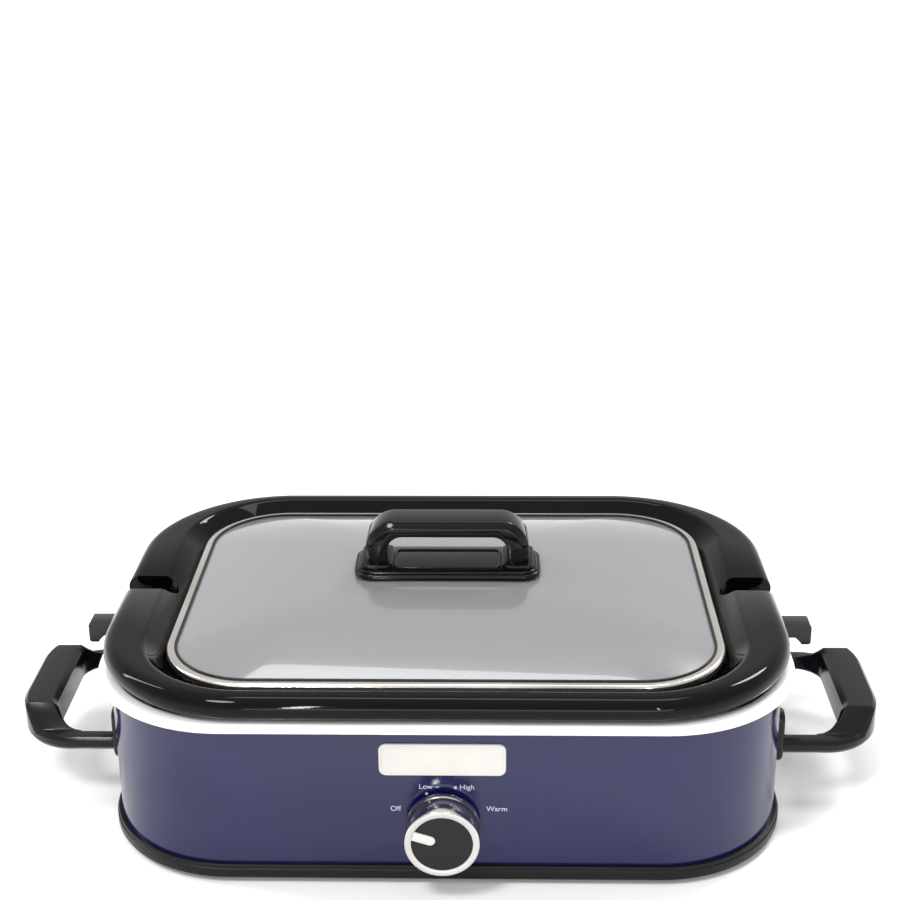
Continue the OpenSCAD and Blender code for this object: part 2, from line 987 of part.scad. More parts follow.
module crock() {
    notch_r = notch_width / 2;
    notch_h = lip_height + 2 * over;
    color("black")
        difference() {
            union() {
                sweep(flange_cx, flange_cy)
                    lip_profile();
                sweep_core(flange_cx, flange_cy, flange_low, flange_top);
                sweep(mouth_cx, mouth_cy)
                    pot_profile();
                sweep_core(mouth_cx, mouth_cy, crock_bottom, flange_low + over);
            }
            sweep(mouth_cx, mouth_cy)
                cavity_profile();
            sweep_core(mouth_cx, mouth_cy, crock_bottom + crock_floor, flange_top + over);
            for (side = [-1, 1])
                on_side(side)
                    translate([notch_end + notch_r, 0, flange_low - over]) {
                        cylinder(r = notch_r, h = notch_h);
                        translate([0, -notch_r, 0])
                            cube([crock_length / 2 - notch_end, notch_width, notch_h]);
                    }
        }
}

// ---- Lid ----

// Half-profile between the rim and the flat middle, under an arc that meets the middle level
module dome_profile(top, low) {
    intersection() {
        translate([0, top - dome_curve])
            circle(r = dome_curve, $fn = 192);
        band(0, dome_r, low, top + over);
    }
}

module lid_glass() {
    low = glass_top_edge - glass_thickness;
    screw_hole = 4;
    color("lightgray", 0.5)
        difference() {
            union() {
                sweep(lid_cx, lid_cy) {
                    dome_profile(glass_top, low);
                    band(0, glass_r, low, glass_top_edge);
                }
                sweep_core(lid_cx, lid_cy, low, glass_top);
            }
            sweep(lid_cx, lid_cy)
                dome_profile(glass_under, low - over);
            sweep_core(lid_cx, lid_cy, low - over, glass_under);
            for (x = [-lid_screw_x, lid_screw_x])
                translate([x, 0, glass_under - over])
                    cylinder(r = screw_hole, h = glass_thickness + 2 * over);
        }
}

module lid_rim() {
    t = band_sheet;
    top_r = lid_r - band_lip;
    low_r = top_r + 1;
    color("silver")
        sweep(lid_cx, lid_cy)
            polygon([
                [lid_r, band_low_z], [lid_r, band_top_z], [top_r, band_top_z], [top_r, band_top_z - t],
                [lid_r - t, band_top_z - t], [lid_r - t, band_low_z + t],
                [low_r, band_low_z + t], [low_r, band_low_z]
            ]);
}

// Silicone ring: a pad under the glass inside the rim, and a wedge that lies on the shoulder
module lid_gasket() {
    inner = lid_r - band_lip - 2;
    neck = lid_r - band_lip + 1 - 2 * slip;
    outer = lid_r - band_sheet - slip;
    pad_top = glass_top_edge - glass_thickness;
    wedge = lid_r - 7 * slip;
    under = band_low_z;
    color("black")
        sweep(lid_cx, lid_cy)
            polygon([
                [inner, shoulder_z(inner) + seal_gap], [wedge, shoulder_z(wedge) + seal_gap],
                [wedge, under], [neck, under], [neck, under + band_sheet], [outer, under + band_sheet],
                [outer, pad_top], [inner, pad_top]
            ]);
}

module lid_handle_base() {
    collar = [grip_leg + 6, grip_depth + 6];
    base_corner_r = 12;
    collar_corner_r = 4;
    color("black")
        difference() {
            union() {
                translate([0, 0, glass_top])
                    linear_extrude(grip_base_thick)
                        rounded(grip_base_width, grip_base_depth, base_corner_r);
                for (x = [-lid_screw_x, lid_screw_x])
                    translate([x, 0, grip_foot - over])
                        linear_extrude(collar_height + over)
                            rounded(collar[0], collar[1], collar_corner_r);
            }
            for (x = [-lid_screw_x, lid_screw_x]) {
                translate([x, 0, grip_foot + collar_height / 2])
                    cube([grip_leg + 2 * slip, grip_depth + 2 * slip, collar_height + slip], center = true);
                translate([x, 0, glass_top - over])
                    cylinder(r = screw_hole_r, h = grip_base_thick + 2 * over);
            }
        }
}

module lid_handle_grip() {
    height = grip_top - grip_foot;
    opening = [grip_width - 2 * grip_leg, height - grip_bar_thick];
    outer_r = 18;
    inner_r = 9;
    bore_depth = 15;
    color("black")
        difference() {
            translate([0, grip_depth / 2, grip_foot])
                rotate([90, 0, 0])
                    linear_extrude(grip_depth)
                        difference() {
                            intersection() {
                                rounded(grip_width, 2 * height, outer_r);
                                translate([-grip_width / 2, 0])
                                    square([grip_width, height]);
                            }
                            rounded(opening[0], 2 * opening[1], inner_r);
                        }
            for (x = [-lid_screw_x, lid_screw_x])
                translate([x, 0, grip_foot - over])
                    cylinder(r = bore_r, h = bore_depth + over);
        }
}

module lid_washers() {
    washer_r = 9;
    color("black")
        for (x = [-lid_screw_x, lid_screw_x])
            translate([x, 0, glass_under - washer_thick])
                difference() {
                    cylinder(r = washer_r, h = washer_thick);
                    translate([0, 0, -over])
                        cylinder(r = screw_hole_r, h = washer_thick + 2 * over);
                }
}

module lid_screws() {
    head_z = glass_under - washer_thick;
    head_r = 4.5;
    head_thick = 2.6;
    reach = 14;
    color("silver")
        for (x = [-lid_screw_x, lid_screw_x])
            translate([x, 0, 0]) {
                translate([0, 0, head_z - head_thick])
                    cylinder(r = head_r, h = head_thick);
                translate([0, 0, head_z - over])
                    cylinder(r = screw_r, h = grip_foot - head_z + reach + over);
            }
}

// ---- What is drawn ----

outer_shell();
bottom_ring();
bottom_plate();
heating_well();
well_clips();
heater_band();
heater_clamp();
heat_reflector();
well_posts();
thermal_fuse();
fuse_bracket();
left_handle();
right_handle();
left_strap_hook();
right_strap_hook();
handle_screws();
hook_screws();
base_screws();
feet();
name_plate();
rotary_switch();
switch_nut();
terminal_block();
internal_wires();
cord_gland();
gland_nut();
knob_core();
knob_ring();
knob_pointer();
switch_shaft();
crock();
lid_glass();
lid_rim();
lid_gasket();
lid_handle_base();
lid_handle_grip();
lid_screws();
lid_washers();
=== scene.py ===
"""Slow cooker with a lift-out crock and a glass lid: looks, studio and camera.

Lengths are in millimetres, in the part's frame: +Z up, the control knob towards -Y.
They become metres when a mesh is made. Finished pieces ride on the part's bodies.
"""

import math

import bmesh
import bpy
from mathutils import Matrix, Vector


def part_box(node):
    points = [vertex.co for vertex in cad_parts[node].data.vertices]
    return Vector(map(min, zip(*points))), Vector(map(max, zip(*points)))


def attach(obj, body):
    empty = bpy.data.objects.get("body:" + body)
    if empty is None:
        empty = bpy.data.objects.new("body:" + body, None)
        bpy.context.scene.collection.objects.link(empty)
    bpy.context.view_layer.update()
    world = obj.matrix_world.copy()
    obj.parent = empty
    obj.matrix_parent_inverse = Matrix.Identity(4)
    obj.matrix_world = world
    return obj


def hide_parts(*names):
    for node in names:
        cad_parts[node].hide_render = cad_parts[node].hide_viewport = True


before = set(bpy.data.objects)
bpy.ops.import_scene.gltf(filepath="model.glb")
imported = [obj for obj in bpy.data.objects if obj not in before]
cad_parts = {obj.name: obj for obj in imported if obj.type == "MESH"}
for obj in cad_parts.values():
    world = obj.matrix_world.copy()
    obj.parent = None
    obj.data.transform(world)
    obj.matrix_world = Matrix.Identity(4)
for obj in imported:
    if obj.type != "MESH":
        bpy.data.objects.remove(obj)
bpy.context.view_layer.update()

MM = 0.001
# Points nearer than this count as one when a face is closed, and when a mesh is made
SAME_SPOT = 0.01
WELD = 0.002


# ---- Sizes taken from the frame ----

def box_mm(node):
    """Lowest and highest corner of a CAD node, in millimetres."""
    low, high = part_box(node)
    return low / MM, high / MM


WELL_LOW, WELL_HIGH = box_mm("heating_well")
SHELL_LOW, SHELL_HIGH = box_mm("outer_shell")
RING_LOW, RING_HIGH = box_mm("bottom_ring")
CROCK_LOW, CROCK_HIGH = box_mm("crock")
BAND_LOW, BAND_HIGH = box_mm("lid_rim")
GLASS_HIGH = box_mm("lid_glass")[1]
GASKET_LOW, GASKET_HIGH = box_mm("lid_gasket")
GRIP_BASE_LOW, GRIP_BASE_HIGH = box_mm("lid_handle_base")
ARCH_LOW, ARCH_HIGH = box_mm("lid_handle_grip")
HANDLE_HIGH = box_mm("right_handle")[1]
HOOK_LOW, HOOK_HIGH = box_mm("right_strap_hook")
PLATE_LOW, PLATE_HIGH = box_mm("name_plate")
KNOB_LOW, KNOB_HIGH = box_mm("knob_ring")
CORE_LOW = box_mm("knob_core")[0]

# Corner radii of the rounded rectangles, and so the centres of their corners
RIM_R = 80
BASE_CENTRE = (WELL_HIGH.x - RIM_R, WELL_HIGH.y - RIM_R)
FLANGE_R = 90
FLANGE_CENTRE = (CROCK_HIGH.x - FLANGE_R, CROCK_HIGH.y - FLANGE_R)
LID_R = 52
LID_CENTRE = (BAND_HIGH.x - LID_R, BAND_HIGH.y - LID_R)
MOUTH_R = 44

# Walls of the base: how far they stand in from the rim, and the shell's sheet
SHELL_INSET = 7
SHELL_SHEET = 0.8
RING_INSET = 4

# The crock's shoulder, which the lid's gasket sits on: it falls this much over this run
SHOULDER_DROP = 18
SHOULDER_RUN = 21

# Direction of the pointer at Off, in degrees from +X as seen from the front
OFF_ANGLE = 162

FRONT = -SHELL_LOW.y
SIDE = SHELL_HIGH.x
KNOB_Z = (KNOB_LOW.z + KNOB_HIGH.z) / 2


# ---- Materials ----

def rgb(red, green, blue):
    """Linear colour from the usual 0 to 255 values."""
    def linear(value):
        value /= 255
        return value / 12.92 if value <= 0.04045 else ((value + 0.055) / 1.055) ** 2.4
    return (linear(red), linear(green), linear(blue), 1)


def noise(tree, vector, scale, detail=3.0, distortion=0.0):
    node = tree.nodes.new("ShaderNodeTexNoise")
    node.inputs["Scale"].default_value = scale
    node.inputs["Detail"].default_value = detail
    node.inputs["Distortion"].default_value = distortion
    tree.links.new(vector, node.inputs["Vector"])
    return node.outputs["Fac"]


def spread(tree, value, low, high, start=0.35, end=0.65):
    """Stretches a noise value between start and end over low to high."""
    node = tree.nodes.new("ShaderNodeMapRange")
    node.inputs["From Min"].default_value = start
    node.inputs["From Max"].default_value = end
    node.inputs["To Min"].default_value = low
    node.inputs["To Max"].default_value = high
    tree.links.new(value, node.inputs["Value"])
    return node.outputs["Result"]


def blend_colours(tree, factor, dark, light):
    node = tree.nodes.new("ShaderNodeMix")
    node.data_type = "RGBA"
    node.inputs["A"].default_value = dark
    node.inputs["B"].default_value = light
    tree.links.new(factor, node.inputs["Factor"])
    return node.outputs["Result"]


def surface(name, dark, light, rough, metal=0.0, blotch=14.0, grain=1400.0, grain_height=0.02,
            wave=0.0, wave_scale=9.0, stretch=(1, 1, 1), coat=0.0, coat_rough=0.04, specular=0.5):
    """A finish whose colour and roughness drift, with fine grain and a slow wave in its surface."""
    material = bpy.data.materials.new(name)
    material.use_nodes = True
    tree = material.node_tree
    shader = tree.nodes["Principled BSDF"]
    shader.inputs["Metallic"].default_value = metal
    shader.inputs["Coat Weight"].default_value = coat
    shader.inputs["Coat Roughness"].default_value = coat_rough
    shader.inputs["Specular IOR Level"].default_value = specular
    place = tree.nodes.new("ShaderNodeTexCoord").outputs["Object"]
    mapping = tree.nodes.new("ShaderNodeMapping")
    mapping.inputs["Scale"].default_value = stretch
    tree.links.new(place, mapping.inputs["Vector"])
    stretched = mapping.outputs["Vector"]
    drift = spread(tree, noise(tree, stretched, blotch), 0, 1)
    streak = noise(tree, stretched, grain, 4.0)
    if dark == light:
        shader.inputs["Base Color"].default_value = dark
    else:
        tree.links.new(blend_colours(tree, drift, dark, light), shader.inputs["Base Color"])
    mix = tree.nodes.new("ShaderNodeMath")
    mix.operation = "MULTIPLY_ADD"
    tree.links.new(streak, mix.inputs[0])
    mix.inputs[1].default_value = 0.5
    half = tree.nodes.new("ShaderNodeMath")
    half.operation = "MULTIPLY"
    half.inputs[1].default_value = 0.5
    tree.links.new(noise(tree, place, blotch * 2.7), half.inputs[0])
    tree.links.new(half.outputs["Value"], mix.inputs[2])
    tree.links.new(spread(tree, mix.outputs["Value"], *rough), shader.inputs["Roughness"])
    bump = tree.nodes.new("ShaderNodeBump")
    bump.inputs["Strength"].default_value = 1.0
    bump.inputs["Distance"].default_value = grain_height * MM
    tree.links.new(streak, bump.inputs["Height"])
    if wave:
        slow = tree.nodes.new("ShaderNodeBump")
        slow.inputs["Strength"].default_value = 1.0
        slow.inputs["Distance"].default_value = wave * MM
        tree.links.new(noise(tree, stretched, wave_scale, 1.5), slow.inputs["Height"])
        tree.links.new(slow.outputs["Normal"], bump.inputs["Normal"])
    tree.links.new(bump.outputs["Normal"], shader.inputs["Normal"])
    return material


def glass(name, tint, rough):
    """Grey, half clear tempered glass with a soft coat and a trace of wiping marks."""
    material = surface(name, tint, tint, rough, blotch=6.0, grain=60.0, grain_height=0.002, stretch=(1, 4, 1),
                       coat=0.6, coat_rough=0.22)
    shader = material.node_tree.nodes["Principled BSDF"]
    shader.inputs["Transmission Weight"].default_value = 0.5
    shader.inputs["IOR"].default_value = 1.47
    shader.inputs["Coat IOR"].default_value = 1.7
    return material


paint = surface("navy_enamel", rgb(13, 15, 60), rgb(17, 19, 66), (0.1, 0.17), blotch=7.0, grain=2600.0,
                grain_height=0.003, wave=0.05, wave_scale=7.0, specular=0.5)
ring_plastic = surface("ring_plastic", rgb(11, 11, 12), rgb(16, 16, 17), (0.3, 0.4), grain=3200.0,
                       grain_height=0.01, specular=0.22)
handle_plastic = surface("handle_plastic", rgb(11, 11, 12), rgb(16, 16, 18), (0.16, 0.24), grain=2800.0,
                         grain_height=0.006, wave=0.02, wave_scale=40.0, specular=0.25)
hook_plastic = surface("hook_plastic", rgb(12, 12, 13), rgb(17, 17, 18), (0.14, 0.2), grain=2800.0,
                       grain_height=0.008, specular=0.4)
gloss_black = surface("gloss_black", rgb(7, 7, 8), rgb(11, 11, 12), (0.08, 0.14), grain=1500.0,
                      grain_height=0.003, wave=0.03, wave_scale=35.0, specular=0.22)
glaze = surface("black_glaze", rgb(3, 3, 4), rgb(7, 6, 7), (0.02, 0.05), blotch=10.0, grain=420.0,
                grain_height=0.006, wave=0.2, wave_scale=11.0, specular=0.15)
bright_aluminium = surface("bright_aluminium", rgb(238, 238, 239), rgb(254, 254, 254), (0.12, 0.2), metal=0.2,
                           blotch=13.0, grain=60.0, grain_height=0.03, wave=3.0, wave_scale=14.0,
                           stretch=(1, 1, 0.15))
stainless = surface("polished_stainless", rgb(198, 193, 186), rgb(216, 211, 204), (0.14, 0.26), metal=1.0,
                    grain=900.0, grain_height=0.006)
chrome = surface("knob_chrome", rgb(204, 201, 195), rgb(220, 217, 211), (0.1, 0.18), metal=1.0,
                 grain=900.0, grain_height=0.002)
satin_chrome = surface("satin_chrome", rgb(186, 184, 180), rgb(200, 198, 194), (0.34, 0.46), metal=0.7,
                       grain=2400.0, grain_height=0.01)
cream = surface("cream_enamel", rgb(192, 189, 184), rgb(202, 199, 194), (0.3, 0.42), grain=2200.0,
                grain_height=0.01)
knob_black = surface("knob_black", rgb(19, 19, 18), rgb(25, 24, 23), (0.42, 0.55), grain=3000.0,
                     grain_height=0.01, specular=0.25)
ink = surface("white_ink", rgb(176, 178, 204), rgb(192, 194, 216), (0.45, 0.6), grain=2600.0)
silicone = surface("silicone", rgb(12, 12, 12), rgb(18, 18, 18), (0.38, 0.5), grain=1800.0, specular=0.35)
rubber = surface("foot_rubber", rgb(22, 22, 22), rgb(32, 32, 31), (0.65, 0.8), grain=1600.0,
                 grain_height=0.05)
lid_glass = glass("tempered_glass", rgb(160, 161, 162), (0.0, 0.03))
zinc = surface("zinc_plate", rgb(176, 178, 180), rgb(198, 199, 200), (0.28, 0.42), metal=1.0, blotch=60.0,
               grain=300.0, grain_height=0.02, stretch=(1, 8, 1))
plated = surface("plated_steel", rgb(186, 186, 184), rgb(206, 206, 203), (0.2, 0.34), metal=1.0, blotch=120.0)
tinted_steel = surface("heat_tinted_steel", rgb(168, 156, 138), rgb(186, 178, 164), (0.3, 0.45), metal=1.0,
                       blotch=30.0, grain=500.0, stretch=(1, 1, 6))
turned_aluminium = surface("turned_aluminium", rgb(200, 201, 203), rgb(216, 217, 219), (0.22, 0.36),
                           metal=1.0, grain=900.0, stretch=(1, 1, 10))
ceramic = surface("unglazed_ceramic", rgb(226, 220, 206), rgb(238, 233, 222), (0.6, 0.75), blotch=90.0,
                  grain=1500.0, grain_height=0.04)
switch_plastic = surface("switch_plastic", rgb(38, 38, 40), rgb(50, 50, 52), (0.5, 0.62), grain=2000.0)
wire_coat = surface("wire_silicone", rgb(150, 40, 30), rgb(168, 50, 38), (0.4, 0.5), grain=1500.0)

# Finishes of the CAD nodes that are shown as they are
NODE_FINISHES = {
    "bottom_plate": zinc, "well_clips": plated, "heater_band": tinted_steel, "heater_clamp": plated,
    "heat_reflector": turned_aluminium, "well_posts": turned_aluminium, "thermal_fuse": ceramic,
    "fuse_bracket": plated, "handle_screws": plated, "hook_screws": plated, "base_screws": plated,
    "feet": rubber, "rotary_switch": switch_plastic, "switch_nut": plated, "terminal_block": ceramic,
    "internal_wires": wire_coat, "cord_gland": ring_plastic, "gland_nut": ring_plastic,
    "switch_shaft": plated, "lid_screws": plated, "lid_washers": silicone,
}


def paint_node(node, material):
    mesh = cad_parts[node].data
    if not mesh.materials:
        mesh.materials.append(material)
    for index in range(len(mesh.materials)):
        mesh.materials[index] = material


for node_name, finish in NODE_FINISHES.items():
    paint_node(node_name, finish)


# ---- Mesh tools ----

def arc(centre, radius, start, end, steps=8):
    """Points on an arc, with angles in degrees."""
    angles = [math.radians(start + (end - start) * i / steps) for i in range(steps + 1)]
    return [(centre[0] + radius * math.cos(a), centre[1] + radius * math.sin(a)) for a in angles]


def round_corner(before, corner, after, radius, steps):
    """The arc that replaces one corner of an outline."""
    before, corner, after = Vector(before), Vector(corner), Vector(after)
    back = (before - corner).normalized()
    ahead = (after - corner).normalized()
    half = back.angle(ahead) / 2
    centre = corner + (back + ahead).normalized() * radius / math.sin(half)
    start = corner + back * radius / math.tan(half) - centre
    end = corner + ahead * radius / math.tan(half) - centre
    turn = math.atan2(start.x * end.y - start.y * end.x, start.dot(end))
    return [tuple(centre + Matrix.Rotation(turn * i / steps, 2) @ start) for i in range(steps + 1)]


def rounded(points, radii, steps=6, closed=True):
    """An outline whose corners are arcs. radii is one radius, or one for each point."""
    if not isinstance(radii, (list, tuple)):
        radii = [radii] * len(points)
    outline = []
    last = len(points) - 1
    for i, point in enumerate(points):
        sharp = radii[i] <= 0 or (not closed and i in (0, last))
        if sharp:
            outline.append(tuple(point))
        else:
            outline += round_corner(points[i - 1], point, points[(i + 1) % len(points)], radii[i], steps)
    return outline


def rectangle(width, height, radius, centre=(0, 0), steps=8):
    x, y = width / 2, height / 2
    corners = [(-x, -y), (x, -y), (x, y), (-x, y)]
    return [(centre[0] + u, centre[1] + v) for u, v in rounded(corners, radius, steps)]


def stations(turn=20, along=10):
    """Places round a rounded rectangle: share of each corner centre, and the outward direction."""
    corners = ((1, 1), (-1, 1), (-1, -1), (1, -1))
    places = []
    for quarter, (sx, sy) in enumerate(corners):
        for i in range(turn + 1):
            angle = math.radians(90 * (quarter + i / turn))
            places.append((sx, sy, math.cos(angle), math.sin(angle)))
        nx, ny = corners[(quarter + 1) % 4]
        for i in range(1, along):
            share = i / along
            places.append((sx + (nx - sx) * share, sy + (ny - sy) * share, math.cos(angle), math.sin(angle)))
    return places


def sweep(profile, centre, closed=False, places=None):
    """Carries a half-profile round a rounded rectangle. A profile point is (radius, height) or
    (radius, height, corner centre). A radius of 0 at an end of the profile closes it with a face."""
    places = places or stations()
    rows = len(profile)
    points = []
    for sx, sy, ux, uy in places:
        for spot in profile:
            cx, cy = spot[2] if len(spot) > 2 else centre
            points.append((sx * cx + spot[0] * ux, sy * cy + spot[0] * uy, spot[1]))
    faces = []
    for i in range(len(places)):
        j = (i + 1) % len(places)
        for k in range(rows if closed else rows - 1):
            m = (k + 1) % rows
            faces.append((i * rows + k, j * rows + k, j * rows + m, i * rows + m))
    for k in (0, rows - 1):
        if not closed and profile[k][0] == 0:
            edge = [i * rows + k for i in range(len(places))]
            faces.append([v for v, last in zip(edge, edge[-1:] + edge)
                          if math.dist(points[v], points[last]) > SAME_SPOT])
    return points, faces


def lathe(profile, steps=96):
    """Turns a profile of (radius, distance along the axis) round +Z."""
    rows = len(profile)
    points = []
    for i in range(steps):
        angle = 2 * math.pi * i / steps
        points += [(r * math.cos(angle), r * math.sin(angle), d) for r, d in profile]
    faces = []
    for i in range(steps):
        j = (i + 1) % steps
        for k in range(rows - 1):
            faces.append((i * rows + k, j * rows + k, j * rows + k + 1, i * rows + k + 1))
    return points, faces


def slab(outline, low, high):
    """A flat outline given a thickness along +Z."""
    count = len(outline)
    points = [(x, y, low) for x, y in outline] + [(x, y, high) for x, y in outline]
    faces = [list(range(count))[::-1], list(range(count, 2 * count))]
    faces += [(i, (i + 1) % count, count + (i + 1) % count, count + i) for i in range(count)]
    return points, faces


def loft(sections):
    """A skin over closed sections with the same number of points, closed at both ends."""
    count = len(sections[0])
    points = [p for section in sections for p in section]
    faces = [list(range(count))[::-1], [(len(sections) - 1) * count + i for i in range(count)]]
    for s in range(len(sections) - 1):
        for i in range(count):
            j = (i + 1) % count
            faces.append((s * count + i, s * count + j, (s + 1) * count + j, (s + 1) * count + i))
    return points, faces


def dome(outline, rings, height):
    """Rings of the same outline, shrinking to the middle, at the height that their share of it has."""
    points = [(x * s, y * s, height(s)) for s in rings for x, y in outline]
    points.append((0, 0, height(0)))
    count = len(outline)
    faces = []
    for r in range(len(rings) - 1):
        for i in range(count):
            j = (i + 1) % count
            faces.append((r * count + i, r * count + j, (r + 1) * count + j, (r + 1) * count + i))
    inner = (len(rings) - 1) * count
    faces += [(inner + i, inner + (i + 1) % count, len(points) - 1) for i in range(count)]
    return points, faces


def together(*parts):
    """Several point and face lists as one."""
    points, faces = [], []
    for part_points, part_faces in parts:
        shift = len(points)
        points += part_points
        faces += [[v + shift for v in face] for face in part_faces]
    return points, faces


def turned(part, matrix):
    points, faces = part
    return [tuple(matrix @ Vector(p)) for p in points], faces


# From a drawing with +Z towards the viewer to the front panel, which faces -Y
TO_PANEL = Matrix.Translation((0, -FRONT, KNOB_Z)) @ Matrix.Rotation(math.radians(90), 4, "X")
# From a drawing in X and Y, extruded along Z, to a section in X and Z, extruded along -Y
UPRIGHT = Matrix.Rotation(math.radians(90), 4, "X")


def as_drawn(part):
    return part


def mirrored(part):
    points, faces = part
    return [(-x, y, z) for x, y, z in points], faces


# Parts of the ends are drawn on the right and turned over for the left
SIDES = (("right", as_drawn), ("left", mirrored))


def plain_mesh(name, part):
    """A mesh in metres from points in millimetres."""
    points, faces = part
    mesh = bpy.data.meshes.new(name)
    mesh.from_pydata([Vector(p) * MM for p in points], [], faces)
    return mesh


def solid_mesh(name, part):
    """A mesh whose doubled points are joined and whose faces all look outwards."""
    mesh = plain_mesh(name, part)
    work = bmesh.new()
    work.from_mesh(mesh)
    bmesh.ops.remove_doubles(work, verts=work.verts, dist=WELD * MM)
    bmesh.ops.recalc_face_normals(work, faces=work.faces)
    work.to_mesh(mesh)
    work.free()
    return mesh


def place_mesh(name, mesh):
    piece = bpy.data.objects.new(name, mesh)
    bpy.context.scene.collection.objects.link(piece)
    return piece


def make(name, part, material, body, stands_for=(), bevel=0.0, segments=3, crease=32, limit=30):
    """A finished piece: mesh, softened edges, smooth shading, finish and body, with the CAD nodes it stands
    for hidden.
    """
    piece = place_mesh(name, solid_mesh(name, part))
    if bevel:
        soften(piece, bevel, segments, limit)
    piece.data.materials.clear()
    piece.data.materials.append(material)
    smooth(piece, crease)
    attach(piece, body)
    if stands_for:
        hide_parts(*stands_for)
    return piece


def soften(piece, width, segments, limit):
    bevel = piece.modifiers.new("soften", "BEVEL")
    bevel.width = width * MM
    bevel.segments = segments
    bevel.limit_method = "ANGLE"
    bevel.angle_limit = math.radians(limit)
    apply_modifiers(piece)


def apply_modifiers(piece):
    bpy.context.view_layer.update()
    graph = bpy.context.evaluated_depsgraph_get()
    mesh = bpy.data.meshes.new_from_object(piece.evaluated_get(graph))
    piece.modifiers.clear()
    piece.data = mesh


def smooth(piece, crease):
    piece.data.shade_smooth()
    piece.data.set_sharp_from_angle(angle=math.radians(crease))


# ---- Base: well, shell and bottom ring ----

def well_profile():
    """Pressed sheet from the middle of the floor to the rolled rim, and back underneath."""
    sheet = 1.2
    floor = WELL_LOW.z + sheet
    lean = math.radians(11)
    fillet = 12
    fillet_r = RIM_R - 35
    bend = 4
    top = WELL_HIGH.z
    wall_foot = (fillet_r + fillet * math.cos(lean), floor + fillet - fillet * math.sin(lean))
    crown_in = wall_foot[0] + (top - bend - wall_foot[1]) * math.tan(lean) + bend
    bead = 1.1
    inside = [(0, floor), (fillet_r - 6.5, floor)]
    inside += [(fillet_r - 5, floor + bead), (fillet_r - 3.4, floor + bead), (fillet_r - 2, floor + 0.1)]
    inside += arc((fillet_r, floor + fillet), fillet, -78, -44, 5)
    inside += [(fillet_r + 9.4, floor + 3.4), (fillet_r + 10.6, floor + 5.6)]
    inside += arc((fillet_r, floor + fillet), fillet, -26, -11, 3)
    inside += [(wall_foot[0] + rise * math.tan(lean), wall_foot[1] + rise) for rise in (15, 30, 45)]
    crown = arc((crown_in, top - bend), bend, 180, 110, 8)
    crown += arc((RIM_R - bend, top - bend), bend, 70, 0, 8)
    skirt = [(RIM_R, top - 4.4), (RIM_R - 0.4, top - 5.2), (RIM_R - 1.2, top - 5.5)]
    under = [(RIM_R - 1.8, top - 5), (RIM_R - 2, top - 4), (RIM_R - bend - 1, top - 1.6)]
    under += [(crown_in + 1, top - 1.6), (crown_in - 2, top - 3.4)]
    under += [(wall_foot[0] + sheet + 30 * math.tan(lean), wall_foot[1] + 30)]
    under += arc((fillet_r, floor + fillet), fillet + sheet, -11, -90, 6)
    return inside + crown + skirt + under + [(0, WELL_LOW.z)]


def outer_shell():
    """Painted wrap, with a lapped seam on its back."""
    radius = RIM_R - SHELL_INSET
    low, high = SHELL_LOW.z, SHELL_HIGH.z
    skin = [(radius - SHELL_SHEET, low), (radius, low)]
    skin += [(radius, low + (high - low) * i / 6) for i in range(1, 6)]
    skin += [(radius, high), (radius - SHELL_SHEET, high)]
    wrap = sweep(skin, BASE_CENTRE, closed=True, places=stations(24, 12))
    make("shell_wrap", wrap, paint, "base", ["outer_shell"])
    seam_x = -62
    seam_width = 9
    seam_thick = 0.55
    strip = slab(rectangle(seam_width, high - RING_HIGH.z - 2.2, 0.6, steps=2), 0, seam_thick)
    middle = (high + RING_HIGH.z + 1) / 2
    place = Matrix.Translation((seam_x, FRONT, middle)) @ Matrix.Rotation(math.radians(-90), 4, "X")
    make("shell_seam", turned(strip, place), paint, "base", bevel=0.3, segments=2)


def bottom_ring():
    """Stepped moulding round the foot of the shell."""
    radius = RIM_R - RING_INSET
    low, high = RING_LOW.z, RING_HIGH.z
    outside = rounded(
        [(radius - 10, low), (radius, low), (radius, high - 2.6), (radius - 0.7, high - 2.2),
         (radius - 0.7, high), (radius - 2.9, high), (radius - 2.9, low + 2.5), (radius - 10, low + 2.5)],
        [0, 1.6, 0.3, 0.3, 0.6, 0, 0, 0], 5)
    make("foot_ring", sweep(outside, BASE_CENTRE, closed=True, places=stations(24, 8)), ring_plastic,
         "base", ["bottom_ring"])


def heating_well():
    make("well_liner", sweep(well_profile(), BASE_CENTRE, places=stations(24, 12)), bright_aluminium,
         "base", ["heating_well"], crease=50)


# ---- Side handles and strap hooks ----

ARM_LOW = 34
ARM_HIGH = 42
ARM_WIDTH = 10
GRIP_WIDTH = 22
GRIP_HIGH = 55
OUTER_BEND = 36
INNER_BEND = 18
GRIP_FLAT = 37


def grip_height(y):
    """Height of the handle's top: the arm, the slope up from the arm, and the flat grip."""
    foot = HANDLE_HIGH.y - ARM_WIDTH
    share = min(1, max(0, (foot - abs(y)) / (foot - GRIP_FLAT)))
    return ARM_HIGH + (GRIP_HIGH - ARM_HIGH) * share


def grip_ring(inner, outer):
    """Section of the handle between a point on its inner outline and one on its outer outline."""
    inner, outer = Vector(inner), Vector(outer)
    width = (outer - inner).length
    across = (outer - inner) / width

    def spot(along, drop):
        place = inner + across * along
        return (place.x, place.y, grip_height(place.y) - drop)

    raised = (grip_height((inner.y + outer.y) / 2) - ARM_HIGH) / (GRIP_HIGH - ARM_HIGH)
    bevel_in = 0.9 + 2.2 * raised
    drop_in = 0.9 + 1.9 * raised
    low = [(0, ARM_LOW + 1.6), (1.2, ARM_LOW), (width - 2, ARM_LOW), (width, ARM_LOW + 2.4)]
    under = [(inner.x + across.x * u, inner.y + across.y * u, z) for u, z in low]
    top = [spot(width, 2.2), spot(width - 2.2, 0), spot(bevel_in, 0), spot(0, drop_in)]
    return under + top


